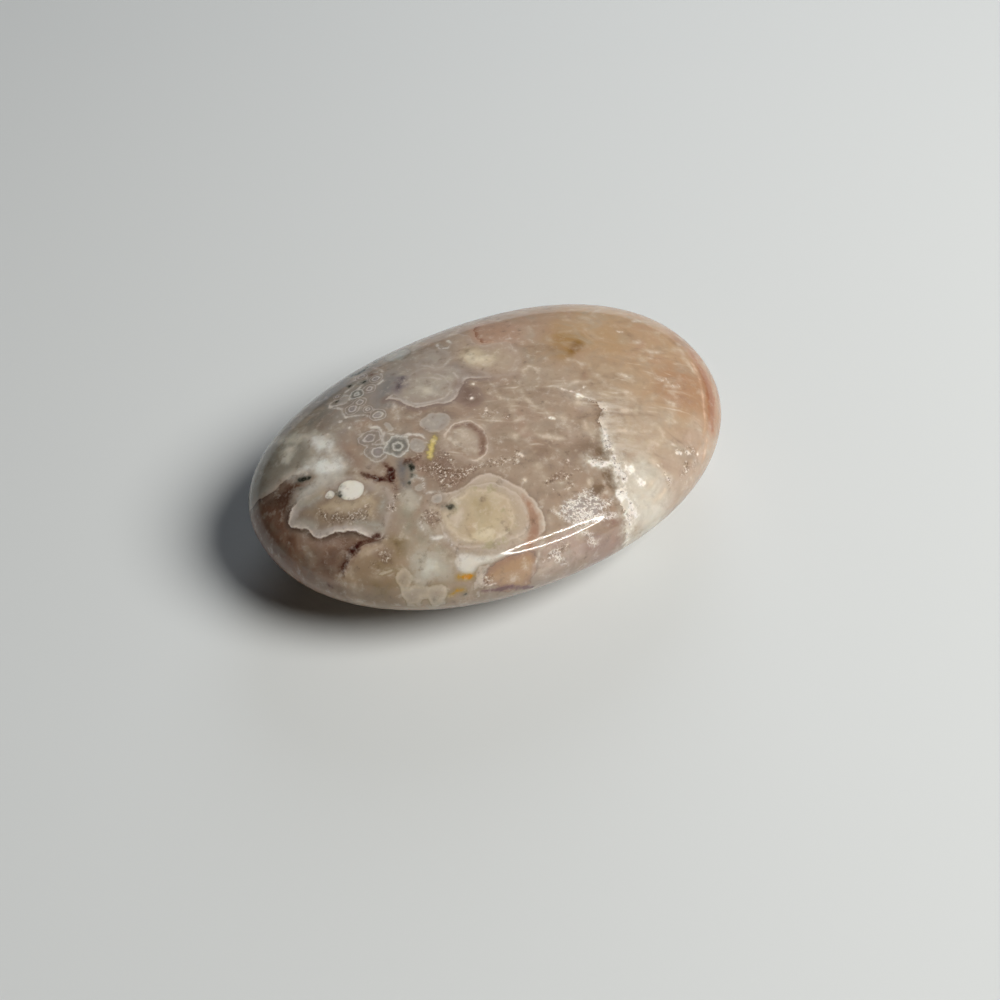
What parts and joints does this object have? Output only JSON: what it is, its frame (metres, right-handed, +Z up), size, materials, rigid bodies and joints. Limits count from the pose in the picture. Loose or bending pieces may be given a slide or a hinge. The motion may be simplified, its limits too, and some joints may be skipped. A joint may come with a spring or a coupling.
{
  "type": "flower agate palm stone",
  "caption": "Polished oval pebble of translucent flower agate, lens-shaped in section, made to lie in the palm and to rest on a table.",
  "frame": {"origin": "on the flat resting spot, under the middle of the stone's outline", "axes": "+Z up from the resting spot through the crown, +X along the length towards the broader, peach-coloured end, +Y across the width"},
  "size_m": [0.0682, 0.0442, 0.0201],
  "materials": {
    "flower_agate": "polished"
  },
  "bodies": {
    "root": {"palm_stone": "flower_agate"}
  },
  "joints": []
}
